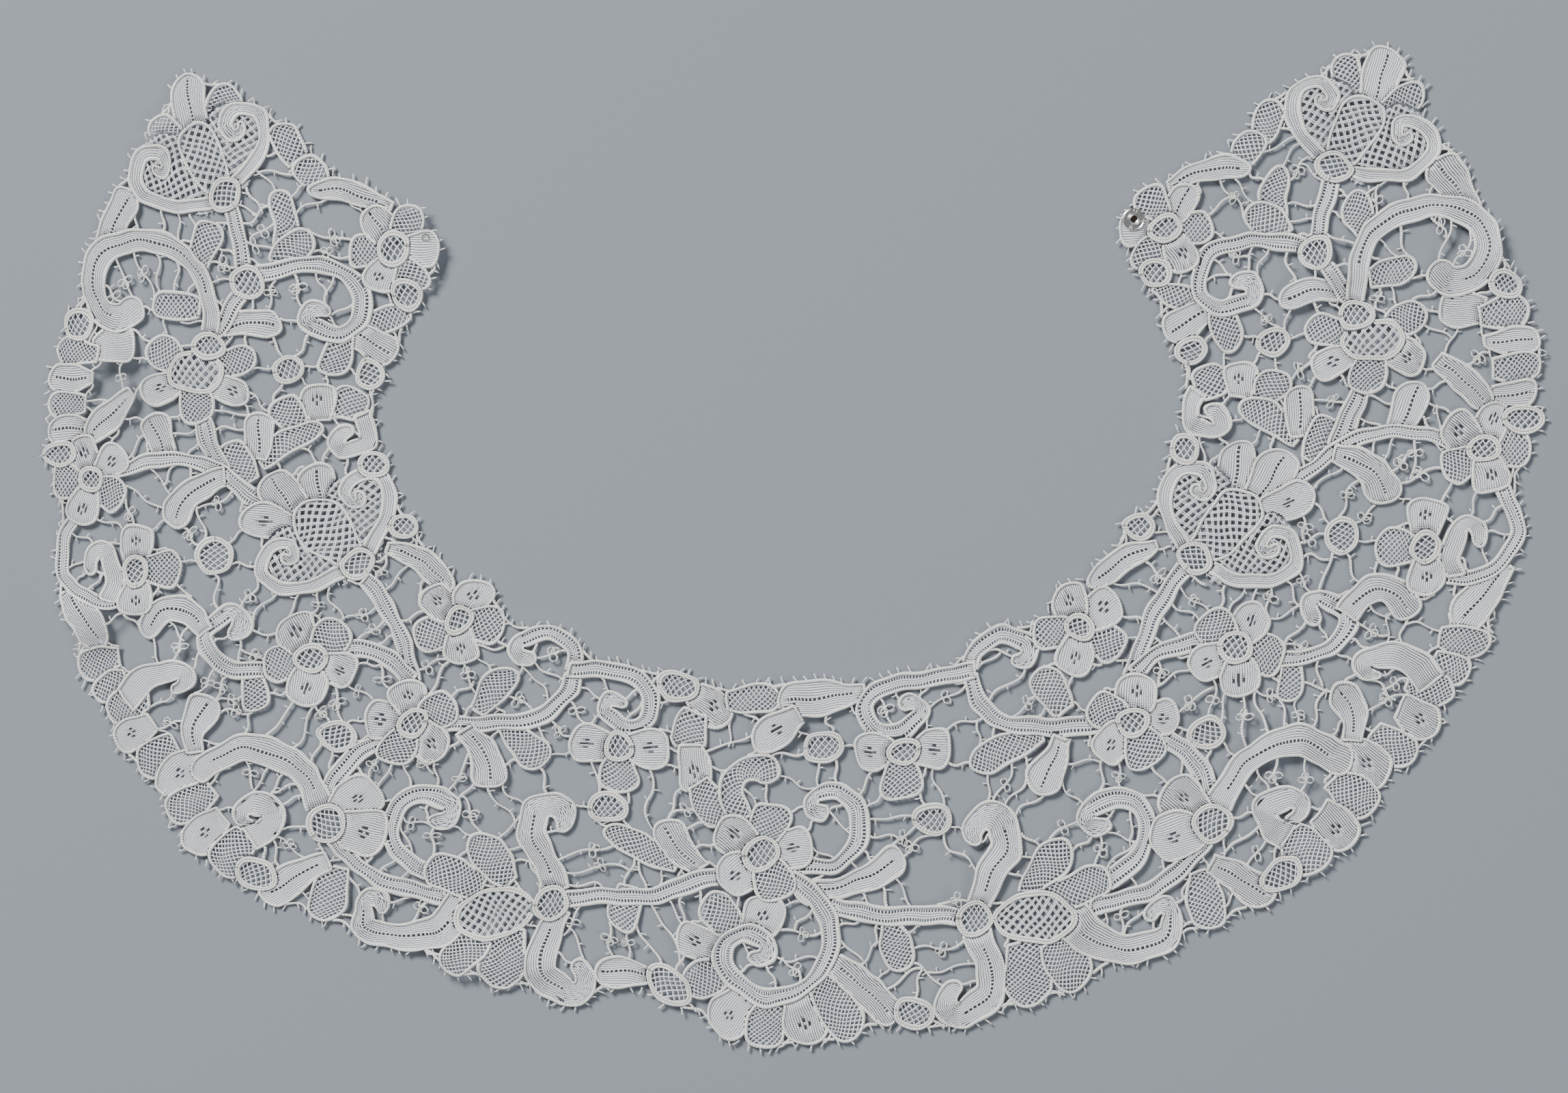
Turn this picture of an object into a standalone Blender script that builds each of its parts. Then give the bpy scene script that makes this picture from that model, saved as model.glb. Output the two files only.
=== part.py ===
"""A needle lace collar laid flat on a table, and the press-stud that closes it at the throat.

The collar is one C-shaped wall of lace. It was worked in nine sprays that bars join edge to edge, so each
spray is its own solid. A socket is sewn on top of the right front's neck corner, and its ball half is sewn
under the left one. Blender units are metres, and +Z is up. +X is to the right of someone who looks down on
the collar from behind its centre back, and +Y runs from the centre back to the fronts. The origin is on the
table, under the middle of the collar.

Sizes in this file are in millimetres, on the flat pattern that the lace was worked on, until place() puts
them in metres.
"""

import math

import bpy

MM = 0.001

# The lace wall.
WALL = 1.2
SEAM = 0.3
STEPS_ACROSS = 10
STEPS_PER_LOBE = 3
LOBE_DEGREES = 3.6
OUTER_LOBE = 1.8
NECK_LOBE = 1.0
FRONT_LOBE = 1.2
FRONT_LOBE_WIDTH = 14.0
# The neck edge is plain at the back, and its lobes grow between these two angles.
PLAIN_NECK_TO = 36.0
LOBED_NECK_FROM = 56.0

# The pattern is drawn round the middle of the neck opening.
NECK_MIDDLE_Y = 32.0
# Laid down by hand, the cloth is pulled this much along its diagonal.
PULL = 0.0245
# The left half is pushed together a little: by this share towards a level line, from the collar's middle out
# to where the push is whole, and by the square of the distance beyond a line near the left edge.
PUSH_SHARE = 0.053
PUSH_LEVEL_Y = 40.0
PUSH_WHOLE_X = 60.0
GATHER_FROM_X = 140.0
GATHER = 0.0012
# The left front end is stretched outwards and up, the more so towards its tip.
STRETCH_FROM_Y = 55.0
STRETCH_WHOLE_Y = 130.0
STRETCH_FROM_X = 60.0
STRETCH_WHOLE_X = 100.0
STRETCH_X = -5.0
STRETCH_Y = 4.8
# Where the pattern's own zero lies from the middle of the laid collar.
PATTERN_X = -4.82
PATTERN_Y = -0.46

# The collar's depth round the neck, the same on both sides: degrees from the centre back, and the radii of
# the neck edge and of the outer edge.
DEPTH_COLUMNS = ("angle", "neck", "outer")
DEPTH = (
    (0.0, 71.8, 177.0),
    (10.0, 72.8, 178.0),
    (20.0, 76.0, 182.5),
    (30.0, 80.0, 188.0),
    (42.0, 87.5, 198.0),
    (53.0, 94.0, 206.5),
    (65.0, 102.0, 214.0),
    (77.0, 109.0, 220.5),
    (87.0, 116.5, 222.5),
    (94.0, 120.0, 221.5),
    (101.0, 117.5, 218.0),
    (108.0, 115.0, 213.5),
    (114.0, 115.5, 208.5),
    (122.2, 117.0, 208.0),
)

# The sprays on the right side, from the centre back to the front. The left side's are their mirror images.
SPRAY_COLUMNS = ("name", "from", "to")
CENTRE_TO = 13.0
SPRAYS = (
    ("back", CENTRE_TO, 42.0),
    ("side", 42.0, 66.0),
    ("shoulder", 66.0, 94.0),
    ("front", 94.0, 122.2),
)

# Where the cloth doesn't lie flat: the middle of each soft fold, its heading, its half length, its half
# width and its height.
FOLD_COLUMNS = ("x", "y", "heading", "half_length", "half_width", "height")
FOLDS = (
    (-204.0, -20.0, 8.0, 24.0, 13.0, 3.0),
    (-200.0, 58.0, -52.0, 26.0, 14.0, 3.4),
    (-180.0, 130.0, 35.0, 22.0, 14.0, 2.4),
    (-169.0, -28.0, 68.0, 26.0, 13.0, 2.2),
    (-84.0, -127.0, -6.0, 27.0, 12.0, 2.6),
    (-21.0, -114.0, 84.0, 34.0, 13.0, 2.0),
    (1.0, -50.0, 62.0, 20.0, 12.0, 1.8),
    (206.0, 84.0, -14.0, 24.0, 13.0, 3.0),
    (161.0, 78.0, 40.0, 26.0, 13.0, 2.2),
    (58.0, -96.0, 24.0, 26.0, 13.0, 1.6),
    (150.0, -62.0, -38.0, 28.0, 14.0, 1.8),
)

# The press-stud, 6.5 mm across. Its halves are turned, so a profile runs from the outer edge to the axis.
STUD_ANGLE = 121.2
STUD_RADIUS = 119.6
STUD_SIDES = 32
FLANGE_R = 3.25
SOCKET_MOUTH_R = 0.85
SOCKET_HEIGHT = 1.6
SOCKET_PROFILE = (
    (FLANGE_R, 0.0),
    (FLANGE_R, 0.45),
    (3.05, 0.6),
    (2.1, 0.5),
    (1.75, 1.4),
    (1.5, SOCKET_HEIGHT),
    (1.1, SOCKET_HEIGHT),
    (SOCKET_MOUTH_R, 1.35),
    (SOCKET_MOUTH_R, 0.0),
)
BALL_HEIGHT = 1.8
BALL_BORE_R = 0.4
BALL_PROFILE = (
    (FLANGE_R, 1.3),
    (FLANGE_R, BALL_HEIGHT),
    (BALL_BORE_R, BALL_HEIGHT),
    (BALL_BORE_R, 0.0),
    (0.7, 0.0),
    (0.9, 0.3),
    (0.9, 0.7),
    (0.75, 1.0),
    (0.95, 1.3),
)
SEWING_HOLES = 4
SEWING_HOLE_R = 0.38
SEWING_RING_R = 2.55

# The left neck corner lies on the ball half, and slopes down to the table round it.
STUD_LIFT = BALL_HEIGHT + SEAM
STUD_LIFT_FLAT_R = 5.5
STUD_LIFT_END_R = 26.0


def clear_scene():
    for obj in list(bpy.data.objects):
        bpy.data.objects.remove(obj, do_unlink=True)


def make_material(name, colour, roughness, metallic):
    material = bpy.data.materials.new(name)
    material.use_nodes = True
    shader = material.node_tree.nodes["Principled BSDF"]
    shader.inputs["Base Color"].default_value = (*colour, 1.0)
    shader.inputs["Roughness"].default_value = roughness
    shader.inputs["Metallic"].default_value = metallic
    return material


def smooth_step(value, low, high):
    """0 below low, 1 above high, and a smooth rise between them."""
    share = min(1.0, max(0.0, (value - low) / (high - low)))
    return share * share * (3.0 - 2.0 * share)


def depth_at(angle, column):
    """The neck or outer radius at an angle: a smooth curve through the DEPTH table's rows."""
    value = DEPTH_COLUMNS.index(column)
    rows = [(-row[0], *row[1:]) for row in DEPTH[:0:-1]] + list(DEPTH)
    angle = min(max(angle, rows[0][0]), rows[-1][0])
    i = next(k for k in range(len(rows) - 1) if angle <= rows[k + 1][0])

    def slope(k):
        before, after = rows[max(k - 1, 0)], rows[min(k + 1, len(rows) - 1)]
        return (after[value] - before[value]) / (after[0] - before[0])

    start, end = rows[i], rows[i + 1]
    width = end[0] - start[0]
    t = (angle - start[0]) / width
    return (
        start[value] * (1 + 2 * t) * (1 - t) ** 2
        + end[value] * t * t * (3 - 2 * t)
        + slope(i) * width * t * (1 - t) ** 2
        - slope(i + 1) * width * t * t * (1 - t)
    )


def lobe(share):
    """How far a scalloped edge stands out: a row of round lobes, one for each unit of share."""
    return abs(math.sin(math.pi * share)) - 0.6


def pattern_point(angle, radius):
    """A point of the pattern, from its angle round the neck and its distance from the neck's middle."""
    turn = math.radians(angle)
    return radius * math.sin(turn), NECK_MIDDLE_Y - radius * math.cos(turn)


def fold_lift(x, y):
    """How high the folds lift the cloth off the table at a point of the pattern."""
    lift = 0.0
    for fold_x, fold_y, heading, half_length, half_width, height in FOLDS:
        turn = math.radians(heading)
        along = (x - fold_x) * math.cos(turn) + (y - fold_y) * math.sin(turn)
        across = (y - fold_y) * math.cos(turn) - (x - fold_x) * math.sin(turn)
        inside = 1 - (along / half_length) ** 2 - (across / half_width) ** 2
        lift += height * max(0.0, inside) ** 2
    return lift


def stud_lift(x, y):
    """How high the ball half holds the left neck corner."""
    stud_x, stud_y = pattern_point(-STUD_ANGLE, STUD_RADIUS)
    away = math.hypot(x - stud_x, y - stud_y)
    return STUD_LIFT * (1 - smooth_step(away, STUD_LIFT_FLAT_R, STUD_LIFT_END_R))


def place(x, y, z):
    """A point of the pattern, in millimetres, as it lies on the table, in metres."""
    y += PUSH_SHARE * smooth_step(-x, 0.0, PUSH_WHOLE_X) * (PUSH_LEVEL_Y - y)
    stretch = smooth_step(-x, STRETCH_FROM_X, STRETCH_WHOLE_X)
    stretch *= smooth_step(y, STRETCH_FROM_Y, STRETCH_WHOLE_Y)
    x += GATHER * max(0.0, -x - GATHER_FROM_X) ** 2 + STRETCH_X * stretch
    y += STRETCH_Y * stretch
    return (
        (x + PULL * y + PATTERN_X) * MM,
        (y + PULL * x + PATTERN_Y) * MM,
        z * MM,
    )


def spray_point(start, end, along, across, lobes):
    """A point of a spray: along runs from 0 at start to 1 at end, and across from 0 at the neck to 1."""
    angle = start + (end - start) * along
    neck = depth_at(angle, "neck")
    outer = depth_at(angle, "outer") + OUTER_LOBE * lobe(along * lobes)
    neck_lobe = NECK_LOBE * smooth_step(abs(angle), PLAIN_NECK_TO, LOBED_NECK_FROM)
    neck -= neck_lobe * lobe(along * lobes)
    radius = neck + (outer - neck) * across
    front = max(abs(start), abs(end)) >= DEPTH[-1][0]
    if front:
        reach = FRONT_LOBE * lobe((radius - neck) / FRONT_LOBE_WIDTH)
        toward_front = along if abs(end) > abs(start) else 1 - along
        angle += math.copysign(math.degrees(reach / radius) * toward_front**4, angle)
    return pattern_point(angle, radius)


def make_spray(name, start, end, material):
    """One spray of lace: a wall of even thickness on a sheet that follows the collar's curve and folds."""
    lobes = round((end - start) / LOBE_DEGREES)
    steps = lobes * STEPS_PER_LOBE
    # Half of the seam is left at each end that meets another spray.
    middle_radius = 0.5 * (depth_at(start, "neck") + depth_at(end, "outer"))
    half_seam = math.degrees(0.5 * SEAM / middle_radius)
    near_neck = middle_radius / depth_at(0.5 * (start + end), "neck")
    points = []
    for i in range(steps + 1):
        for j in range(STEPS_ACROSS + 1):
            along, across = i / steps, j / STEPS_ACROSS
            # The seam's two edges run side by side, so it spans a wider angle near the neck.
            trim = half_seam * (near_neck + (1 - near_neck) * across)
            x, y = spray_point(start + trim, end - trim, along, across, lobes)
            points.append(place(x, y, fold_lift(x, y) + stud_lift(x, y)))
    faces = []
    row = STEPS_ACROSS + 1
    for i in range(steps):
        for j in range(STEPS_ACROSS):
            corner = i * row + j
            faces.append((corner, corner + 1, corner + row + 1, corner + row))
    mesh = bpy.data.meshes.new(name)
    mesh.from_pydata(points, [], faces)
    mesh.update()
    if mesh.polygons[0].normal.z < 0:
        mesh.flip_normals()
    mesh.shade_smooth()
    mesh.materials.append(material)
    spray = bpy.data.objects.new(name, mesh)
    bpy.context.scene.collection.objects.link(spray)
    wall = spray.modifiers.new("wall", "SOLIDIFY")
    wall.thickness = WALL * MM
    wall.offset = 1.0
    wall.use_even_offset = True
    return spray


def make_turned(name, profile, location, material):
    """A closed profile of (radius, height) points, turned round the vertical axis at location."""
    points = [(radius * MM, 0.0, height * MM) for radius, height in profile]
    edges = [(i, (i + 1) % len(points)) for i in range(len(points))]
    mesh = bpy.data.meshes.new(name)
    mesh.from_pydata(points, edges, [])
    mesh.materials.append(material)
    turned = bpy.data.objects.new(name, mesh)
    bpy.context.scene.collection.objects.link(turned)
    turned.location = location
    screw = turned.modifiers.new("turn", "SCREW")
    screw.steps = screw.render_steps = STUD_SIDES
    screw.use_merge_vertices = True
    screw.merge_threshold = 0.00001
    screw.use_normal_calculate = True
    return turned


def pierce(turned):
    """Cuts the ring of sewing holes through a stud half's flange."""
    for i in range(SEWING_HOLES):
        turn = 2 * math.pi * (i + 0.5) / SEWING_HOLES
        bpy.ops.mesh.primitive_cylinder_add(
            vertices=12,
            radius=SEWING_HOLE_R * MM,
            depth=4 * BALL_HEIGHT * MM,
            location=(
                turned.location.x + SEWING_RING_R * MM * math.cos(turn),
                turned.location.y + SEWING_RING_R * MM * math.sin(turn),
                turned.location.z,
            ),
        )
        cutter = bpy.context.object
        cutter.name = f"{turned.name}_hole_{i + 1}"
        cutter.hide_render = True
        cutter.display_type = "WIRE"
        cut = turned.modifiers.new(f"hole_{i + 1}", "BOOLEAN")
        cut.object = cutter
        cut.operation = "DIFFERENCE"


def make_collar():
    cotton = make_material("cotton", (0.80, 0.80, 0.79), 0.9, 0.0)
    steel = make_material("stud_metal", (0.72, 0.72, 0.70), 0.25, 1.0)
    make_spray("spray_centre_back", -CENTRE_TO, CENTRE_TO, cotton)
    for name, start, end in SPRAYS:
        make_spray(f"spray_{name}_right", start, end, cotton)
        make_spray(f"spray_{name}_left", -end, -start, cotton)
    socket_x, socket_y = pattern_point(STUD_ANGLE, STUD_RADIUS)
    top = fold_lift(socket_x, socket_y) + WALL + SEAM
    socket = make_turned("stud_socket", SOCKET_PROFILE, place(socket_x, socket_y, top), steel)
    pierce(socket)
    ball_x, ball_y = pattern_point(-STUD_ANGLE, STUD_RADIUS)
    ball = make_turned("stud_ball", BALL_PROFILE, place(ball_x, ball_y, 0.0), steel)
    pierce(ball)


clear_scene()
make_collar()
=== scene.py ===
"""The lace collar as it looks: clothwork, raised cords, joining bars and the press-stud, on a plain card.

The lace is drawn on the flat pattern, in millimetres, from tables of motifs. Every thread is then made as a
thin tube, and lay() puts it down in the CAD's frame, in metres, over the same soft folds.
"""

import math
import random

import bpy
import numpy as np
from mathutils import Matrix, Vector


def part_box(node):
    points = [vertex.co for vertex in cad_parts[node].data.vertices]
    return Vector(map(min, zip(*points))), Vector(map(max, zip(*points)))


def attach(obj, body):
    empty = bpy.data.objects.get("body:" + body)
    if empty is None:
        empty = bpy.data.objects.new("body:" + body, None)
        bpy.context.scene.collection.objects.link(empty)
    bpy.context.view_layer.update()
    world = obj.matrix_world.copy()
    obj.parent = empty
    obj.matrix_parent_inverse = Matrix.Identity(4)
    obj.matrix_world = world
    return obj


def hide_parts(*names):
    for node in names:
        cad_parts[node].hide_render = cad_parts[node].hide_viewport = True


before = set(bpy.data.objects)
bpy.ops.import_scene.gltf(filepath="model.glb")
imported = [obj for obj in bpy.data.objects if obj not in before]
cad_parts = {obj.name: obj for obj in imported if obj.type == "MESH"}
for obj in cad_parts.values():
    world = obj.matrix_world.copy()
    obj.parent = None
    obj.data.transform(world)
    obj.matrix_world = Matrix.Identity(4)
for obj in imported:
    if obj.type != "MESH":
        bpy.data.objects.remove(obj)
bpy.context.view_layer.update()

# ==============================
# The pattern, and how it lies: the same sizes as the CAD's.

MM = 0.001
NECK_MIDDLE_Y = 32.0
PULL = 0.0245
PUSH_SHARE = 0.053
PUSH_LEVEL_Y = 40.0
PUSH_WHOLE_X = 60.0
GATHER_FROM_X = 140.0
GATHER = 0.0012
STRETCH_FROM_Y = 55.0
STRETCH_WHOLE_Y = 130.0
STRETCH_FROM_X = 60.0
STRETCH_WHOLE_X = 100.0
STRETCH_X = -5.0
STRETCH_Y = 4.8
PATTERN_X = -4.82
PATTERN_Y = -0.46
# Each fold: x, y, heading, half length, half width, height.
FOLDS = (
    (-204, -20, 8, 24, 13, 3),
    (-200, 58, -52, 26, 14, 3.4),
    (-180, 130, 35, 22, 14, 2.4),
    (-169, -28, 68, 26, 13, 2.2),
    (-84, -127, -6, 27, 12, 2.6),
    (-21, -114, 84, 34, 13, 2),
    (1, -50, 62, 20, 12, 1.8),
    (206, 84, -14, 24, 13, 3),
    (161, 78, 40, 26, 13, 2.2),
    (58, -96, 24, 26, 13, 1.6),
    (150, -62, -38, 28, 14, 1.8),
)
STUD_ANGLE = 121.2
STUD_RADIUS = 119.6
STUD_LIFT = 2.1
STUD_LIFT_FLAT_R = 5.5
STUD_LIFT_END_R = 26.0
CLOTH_TOP = 1.2

# Hand work is never quite regular: slow waves of (reach, wavelength, heading) that shift the pattern.
WOBBLE = ((0.34, 17, 20), (0.30, 23, 115), (0.22, 10.5, 70), (0.16, 7.4, 155))
# The cloth isn't pressed flat either: slow waves of (height, wavelength, heading).
RIPPLE = ((0.22, 46, 35), (0.20, 31, 125), (0.14, 19, 80))

# The sprays, with the angles round the neck between which each one lies.
SPRAYS = (
    ("spray_front_left", -180, -94),
    ("spray_shoulder_left", -94, -66),
    ("spray_side_left", -66, -42),
    ("spray_back_left", -42, -13),
    ("spray_centre_back", -13, 13),
    ("spray_back_right", 13, 42),
    ("spray_side_right", 42, 66),
    ("spray_shoulder_right", 66, 94),
    ("spray_front_right", 94, 180),
)


def smooth_step(value, low, high):
    share = np.clip((value - low) / (high - low), 0.0, 1.0)
    return share * share * (3.0 - 2.0 * share)


def waves(x, y, table):
    """The sum of a table's slow waves at the points x, y."""
    total = np.zeros_like(x)
    for reach, wavelength, heading in table:
        turn = math.radians(heading)
        along = x * math.cos(turn) + y * math.sin(turn)
        total += reach * np.sin(2 * np.pi * along / wavelength + heading)
    return total


def stud_middle(angle):
    """Where one half of the press-stud lies on the pattern: at STUD_ANGLE or -STUD_ANGLE round the neck."""
    turn = math.radians(angle)
    return STUD_RADIUS * math.sin(turn), NECK_MIDDLE_Y - STUD_RADIUS * math.cos(turn)


def lift(x, y):
    """How high the folds, the ripples and the press-stud's ball hold the cloth off the table."""
    total = sum(row[0] for row in RIPPLE) + waves(x, y, RIPPLE)
    for fold_x, fold_y, heading, half_length, half_width, height in FOLDS:
        turn = math.radians(heading)
        along = (x - fold_x) * math.cos(turn) + (y - fold_y) * math.sin(turn)
        across = (y - fold_y) * math.cos(turn) - (x - fold_x) * math.sin(turn)
        inside = 1 - (along / half_length) ** 2 - (across / half_width) ** 2
        total = total + height * np.maximum(0.0, inside) ** 2
    stud_x, stud_y = stud_middle(-STUD_ANGLE)
    away = np.hypot(x - stud_x, y - stud_y)
    return total + STUD_LIFT * (1 - smooth_step(away, STUD_LIFT_FLAT_R, STUD_LIFT_END_R))


def lay(points, heights):
    """Pattern points and heights over the cloth's underside, in millimetres, laid on the floor, in metres."""
    x, y = points[:, 0], points[:, 1]
    z = heights + lift(x, y)
    x, y = x + waves(x, y, WOBBLE), y + waves(y, x, WOBBLE)
    y = y + PUSH_SHARE * smooth_step(-x, 0.0, PUSH_WHOLE_X) * (PUSH_LEVEL_Y - y)
    stretch = smooth_step(-x, STRETCH_FROM_X, STRETCH_WHOLE_X)
    stretch = stretch * smooth_step(y, STRETCH_FROM_Y, STRETCH_WHOLE_Y)
    x = x + GATHER * np.maximum(0.0, -x - GATHER_FROM_X) ** 2 + STRETCH_X * stretch
    y = y + STRETCH_Y * stretch
    return np.stack([x + PULL * y + PATTERN_X, y + PULL * x + PATTERN_Y, z], axis=1) * MM


# ==============================
# The design: tables of motifs in millimetres on the pattern, and headings in degrees from +X towards +Y.
# MIRRORED tables are worked once on each side, and CENTRE tables once.

SIDES = (1, -1)
# Each leaf: fill, x, y, heading, length, width, and how far it bends to the left if it does.
MIRRORED_LEAVES = (
    # the front edge
    ("net", 141, 122, 64, 12.5, 9),
    ("net", 135, 113.5, 55, 11.5, 8.5),
    ("vein", 124, 106, 12, 25, 7.2, 4),
    # below the tip rosette
    ("net", 115, 71.5, -16, 14, 7.5),
    ("vein", 119.5, 64, 210, 16, 9.5),
    ("net", 130, 61, -67, 13.5, 9.5),
    # between the front scrolls
    ("net", 168, 93.5, 112, 14.5, 9.6, -1),
    ("net", 178.5, 76, 5, 14.5, 8.5, 2),
    ("vein", 155.5, 69.5, 182, 20, 7.5, -4),
    ("toile", 199, 65.5, 172, 14, 11.5),
    ("net", 145.5, 99.5, 88, 18.5, 8, 5),
    ("net", 141.5, 92, 139, 14.5, 9.5),
    # the outer edge beside it
    ("net", 212, 64, 8, 15, 9.2),
    ("vein", 214.5, 56, 5, 16, 9),
    ("net", 215.5, 48, 3, 14, 9),
    ("vein", 214.5, 40, 3, 15, 8.6),
    ("vein", 200.5, 44, -43, 21, 9),
    # the arch at the neck
    ("net", 126, 46, 105, 10, 10),
    ("eyelet", 135, 46.5, 85, 11.5, 10.5),
    ("net", 144, 44, 60, 10.5, 10),
    ("net", 143, 33.5, 148, 21, 7.8, -3),
    ("vein", 152.5, 37, 95, 14.5, 9.8),
    ("net", 158.5, 28.5, 60, 14.5, 9),
    # the outer edge beside the shoulder
    ("vein", 207.5, -18.5, 230, 23, 11),
    ("net", 202, -32, -12, 15, 10.5),
    ("net", 198.5, -39.5, -22, 12.5, 8.5),
    ("net", 192.5, -45.5, -18, 15, 10.5),
    ("eyelet", 189.5, -54, -30, 14, 11),
    ("net", 182.5, -62, -36, 14, 11),
    ("eyelet", 174, -66.5, -38, 17, 12),
    ("net", 171, -76, -32, 16, 11.5),
    ("eyelet", 166, -85.5, -42, 15, 12),
    ("net", 157.5, -92, -50, 15, 12.5),
    # beside the middle rosette
    ("net", 152, -42.5, 268, 13, 7.8),
    # beside the neck scroll
    ("net", 81.5, -43.5, 127, 16, 9.8),
    # below the two-petal flower
    ("net", 128.5, -106, -76, 17.5, 10.8),
    # round the back palmette's bud
    ("net", 76.5, -126.5, -79, 19, 13.5),
    ("net", 88, -123.5, -52, 18, 12.5),
)
CENTRE_LEAVES = (
    # the fan round the spiral
    ("net", -13.5, -107.5, 128, 13, 11),
    ("eyelet", -1.5, -108.5, 62, 14, 12.5),
    ("eyelet", -20, -116.5, 172, 14, 11),
    ("net", -17.5, -127, 212, 14, 11.5),
    ("eyelet", -10, -136.5, 240, 15, 12.5),
    ("net", 0.5, -139, 268, 15, 12.5),
    ("eyelet", 11.5, -138.5, 288, 15, 11.5),
    ("net", 21, -135, 303, 20, 12),
    ("vein", 28.5, -130.5, -46, 27, 10, 3),
    # the lower edge on the left, and the hanging leaves
    ("vein", -41.5, -130, 182, 17, 9.5),
    ("net", -41.5, -110, 262, 14.5, 10),
    ("net", 38, -117, -70, 17, 9.2),
    # the stem's leaves
    ("net", -37, -91.5, 158, 23, 9.2),
    # the leaves between the palmettes and the neck flowers, and under the neck scrolls
    ("vein", 101.5, -7.5, 212, 23, 7.8, -3),
    ("vein", -104, -5.2, -34, 24, 7.8, 3),
    ("net", 69, -60.5, 202, 23, 9.5),
    ("net", -72.7, -60.8, -43, 18.5, 9.6),
    # the neck edge
    ("eyelet", -18, -46.5, -30, 14, 11),
    ("net", -5.5, -43.8, 4, 15, 9.5),
    ("vein", 14, -43.8, 184, 26, 10),
    ("eyelet", 1.5, -53, 216, 16, 10.5),
    # the chain down the middle
    ("net", -24, -55, 255, 13, 10.5),
    ("eyelet", -22.5, -65.5, 280, 14, 11),
    ("net", -17.5, -75.5, 298, 15, 10.5),
)

# Each ribbon: fill, start width, end width, tip width, points. With a tip width it curls round its last one.
MIRRORED_RIBBONS = (
    # the end palmette's stem, and the crumpled one below it
    ("stem", 5, 5, 0, ((160.5, 106), (158, 97), (156.5, 86))),
    ("stem", 4.4, 4.8, 0, ((157, 82), (161, 75.5), (167, 68))),
    # the leaf that comes out from under the end palmette
    ("vein", 8.5, 10.4, 0, ((200, 93), (197, 101), (190, 109.5))),
    # the front scrolls
    ("stem", 4.4, 5.6, 6.4,
     ((153, 85.5), (144, 86.5), (134, 87), (125.5, 84), (122, 77.5), (123.5, 70.5), (129.5, 67), (135.5, 72))),
    ("vein", 5.2, 8.6, 0,
     ((168.5, 67), (168, 76), (170, 85), (176.5, 92), (186, 95.3), (197, 94.5), (204.5, 89), (206, 82),
      (203, 75.5), (196, 73.5), (190, 78.5))),
    # the neck ribbon
    ("toile", 5.4, 6, 6, ((123, 43), (121, 38.7), (120.7, 33.7), (126.5, 34.6))),
    # blunt leaves: on the shoulder stem, on the arch and below the two-petal flower
    ("vein", 7.5, 10.8, 0, ((181.5, 30), (183.5, 36), (187.5, 44))),
    ("vein", 6.5, 10.4, 0, ((170, -61), (170.6, -53), (165, -43.5))),
    ("vein", 7, 11.5, 0, ((129, -95.5), (138, -99.5), (148, -106.5))),
    # the stems between heart flower, shoulder palmette and upper rosette
    ("stem", 6, 6, 0, ((171.5, 46), (167.5, 35), (163, 24))),
    ("stem", 4.6, 4.2, 0, ((148, 13), (156, 19.5), (165, 26), (177, 30), (189, 29), (199, 26))),
    ("vein", 6, 11, 0, ((162.5, 24), (169, 22), (175.5, 17.5), (179, 8.5))),
    # the ribbon round the ring rosette
    ("stem", 4.2, 4.8, 0, ((211, 14), (216, 5.5), (216, -4), (208.5, -11.5), (198, -13.5), (192, -10))),
    ("toile", 5.5, 6.4, 6, ((199.5, -13), (197.3, -7), (203, -1))),
    # the shoulder palmette's stem and its branch
    ("stem", 5.2, 5.4, 0, ((121, -8), (115, -15), (109.5, -26), (106, -37), (104.5, -48))),
    ("stem", 5, 5, 0, ((105.5, -40), (112, -34), (120, -30.5), (128, -30))),
    # the side scroll and its arch leaf
    ("stem", 4.8, 5.6, 6.6, ((145, -36), (157, -35.5), (165.5, -31), (167.8, -24.5), (159.5, -20.8))),
    ("vein", 7, 8.4, 0, ((167, -24), (172, -17.5), (180, -16), (187.5, -24.5))),
    # the comma at the outer edge
    ("toile", 9, 6.4, 5, ((193, -44), (188, -38.5), (182, -35.8), (175.5, -38.5))),
    # the neck scroll, in two arms, and the neck band
    ("stem", 4.8, 5.4, 6.2, ((58.5, -41), (59, -32), (65.5, -27), (73, -31))),
    ("stem", 5, 5.2, 0, ((58, -38), (60.5, -46), (69, -52.5), (82, -54), (98, -53.5))),
    # from the side rosette to the two-petal flower, and its arch scroll
    ("stem", 5.6, 5.6, 0, ((110, -56), (119, -60.5), (126, -68), (131, -80))),
    ("vein", 8, 8.6, 0, ((131, -80), (136, -69.5), (145, -62), (156.5, -60), (170, -68))),
    ("toile", 8.5, 6.6, 4.6, ((152.5, -88), (147, -85), (145.5, -79), (152.5, -79.7))),
    # the curl beside the back palmette, and the stem to the two-petal flower
    ("stem", 5.4, 5.6, 6.8,
     ((94, -102.5), (104, -97), (110.5, -89), (109.5, -79.5), (102, -75), (95.5, -80.5))),
    ("stem", 5, 5.2, 0, ((129, -87), (119, -98), (108, -104), (94, -108))),
    # the back palmette's leaves
    ("vein", 8, 10, 7.2, ((61.5, -107), (65, -97), (69.6, -89), (64.2, -84.4))),
    ("vein", 8, 9.4, 7, ((61, -112), (65, -123), (66, -132), (56.8, -133.5))),
    ("vein", 11, 6.4, 5.6, ((88, -109), (95.5, -117), (107, -119.5), (117.5, -116.5), (115.5, -109.5))),
)
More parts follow.
